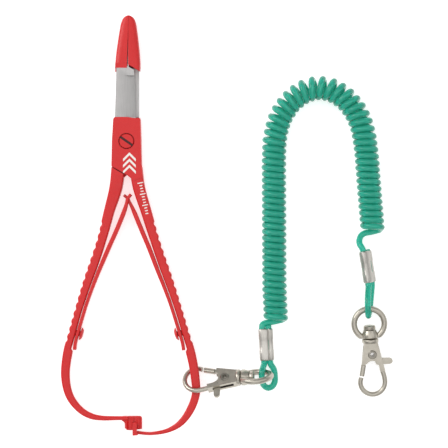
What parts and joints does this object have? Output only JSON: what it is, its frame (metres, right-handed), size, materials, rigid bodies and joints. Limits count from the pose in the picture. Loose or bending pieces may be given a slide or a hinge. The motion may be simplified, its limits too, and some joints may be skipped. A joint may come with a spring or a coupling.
{
  "type": "fishing pliers",
  "caption": "Slim squeeze-lock fishing pliers with scissor blades and crossed leaf springs, clipped to a coiled lanyard with swivel clasps.",
  "frame": {"origin": "centre of the pivot screw's rear end face, on the surface the pliers lie on", "axes": "+Y towards the jaw tips, +X towards the lanyard, +Z out of the pliers' front face"},
  "size_m": [0.1411, 0.1782, 0.0151],
  "materials": {
    "red_coat": "satin powder coat",
    "bare_steel": "ground",
    "nickel": "satin nickel plate",
    "crimp_aluminium": "dull, pressed",
    "teal_cord": "translucent gloss"
  },
  "bodies": {
    "pliers_front": {"front_half": "red_coat", "pivot_screw": "red_coat", "right_spring_screw": "red_coat"},
    "pliers_rear": {"rear_half": "red_coat", "left_spring_screw": "red_coat"},
    "right_leaf": {"right_leaf_spring": "red_coat"},
    "left_leaf": {"left_leaf_spring": "red_coat"},
    "near_hook": {"near_hook_body": "nickel", "near_gate_rivet": "nickel", "near_gate_spring": "bare_steel"},
    "near_gate": {"near_gate_lever": "nickel"},
    "near_ring": {"near_swivel_ring": "nickel"},
    "cord": {"near_ferrule": "crimp_aluminium", "far_ferrule": "crimp_aluminium", "cord_coil": "teal_cord", "near_cord_tail": "teal_cord", "near_cord_loop": "teal_cord", "far_cord_tail": "teal_cord", "far_cord_loop": "teal_cord"},
    "far_ring": {"far_swivel_ring": "nickel"},
    "far_hook": {"far_hook_body": "nickel", "far_gate_rivet": "nickel", "far_gate_spring": "bare_steel"},
    "far_gate": {"far_gate_lever": "nickel"}
  },
  "joints": [
    {"name": "jaw_pivot", "type": "hinge", "parent": "pliers_front", "child": "pliers_rear", "pos_m": [0, 0, 0.004], "axis": [0, 0, -1], "range_deg": [0, 16]},
    {"name": "right_leaf_root", "type": "hinge", "parent": "pliers_front", "child": "right_leaf", "pos_m": [0.02246, -0.08157, 0.004], "axis": [0, 0, 1], "range_deg": [0, 3.6]},
    {"name": "left_leaf_root", "type": "hinge", "parent": "pliers_rear", "child": "left_leaf", "pos_m": [-0.02072, -0.08147, 0.004], "axis": [0, 0, -1], "range_deg": [0, 3.6]},
    {"name": "near_clasp_swing", "type": "hinge", "parent": "pliers_front", "child": "near_hook", "pos_m": [0.0293, -0.1012, 0.004], "axis": [0, 0, 1], "range_deg": [-12, 12]},
    {"name": "near_gate_pivot", "type": "hinge", "parent": "near_hook", "child": "near_gate", "pos_m": [0.04185, -0.10084, 0.00607], "axis": [-0.1488, 0.5655, 0.8112], "range_deg": [0, 22], "stiffness_Nm_per_rad": 0.02, "springref_deg": -11.46},
    {"name": "near_ring_swivel", "type": "hinge", "parent": "near_hook", "child": "near_ring", "pos_m": [0.05471, -0.09973, 0.00766], "axis": [0.9884, 0.0605, 0.1392], "continuous": true},
    {"name": "cord_in_near_ring", "type": "hinge", "parent": "near_ring", "child": "cord", "pos_m": [0.0592, -0.0987, 0.0031], "axis": [0, 0, 1], "range_deg": [-6, 6]},
    {"name": "far_ring_in_cord", "type": "hinge", "parent": "cord", "child": "far_ring", "pos_m": [0.10261, -0.07113, 0.00493], "axis": [-0.9978, -0.0663, 0], "range_deg": [0, 40]},
    {"name": "far_hook_swivel", "type": "hinge", "parent": "far_ring", "child": "far_hook", "pos_m": [0.10304, -0.07752, 0.00432], "axis": [-0.066, 0.9932, 0.0958], "continuous": true},
    {"name": "far_gate_pivot", "type": "hinge", "parent": "far_hook", "child": "far_gate", "pos_m": [0.10429, -0.09041, 0.00307], "axis": [0.0063, -0.0956, 0.9954], "range_deg": [0, 22], "stiffness_Nm_per_rad": 0.02, "springref_deg": -11.46}
  ],
  "couplings": [
    {"joint": "right_leaf_root", "follows": "jaw_pivot", "ratio": 0.2155},
    {"joint": "left_leaf_root", "follows": "jaw_pivot", "ratio": 0.2155}
  ]
}
